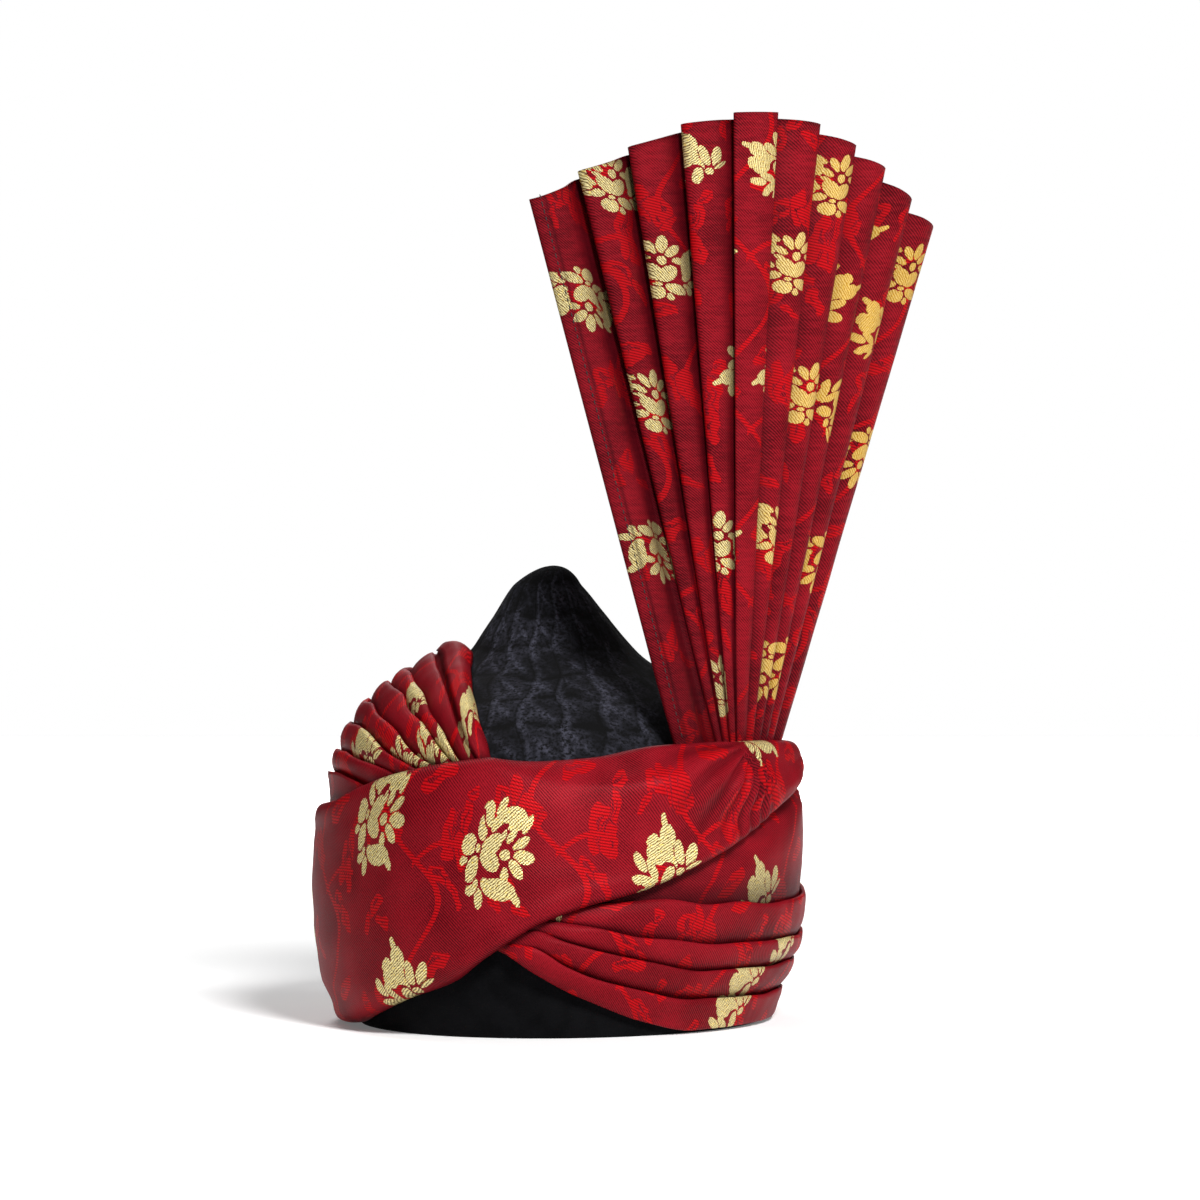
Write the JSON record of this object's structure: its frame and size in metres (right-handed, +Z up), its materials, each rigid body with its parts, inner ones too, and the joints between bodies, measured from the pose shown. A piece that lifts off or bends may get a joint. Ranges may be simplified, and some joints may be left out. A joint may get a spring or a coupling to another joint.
{
  "type": "turban",
  "caption": "Ready-tied turban: stiff black cap with a pointed crown, wound with crossing brocade wraps and topped by a tall pleated fan at one side.",
  "frame": {"origin": "middle of the whole outline, fan included, at the height of the flat rim", "axes": "+Z up through the crown, -Y out of the forehead, +X to the side that carries the fan (the wearer's left)"},
  "size_m": [0.252, 0.2488, 0.3834],
  "materials": {
    "band_cloth": "matte black cloth over padding",
    "crown_cloth": "creased black cloth",
    "pleated_brocade": "satin brocade with gold flowers",
    "front_brocade": "satin brocade with gold flowers",
    "fan_brocade": "starched satin brocade with gold flowers"
  },
  "bodies": {
    "root": {"cap_band": "band_cloth", "cap_crown": "crown_cloth", "pleated_wrap": "pleated_brocade", "front_wrap": "front_brocade", "fan": "fan_brocade"}
  },
  "joints": []
}
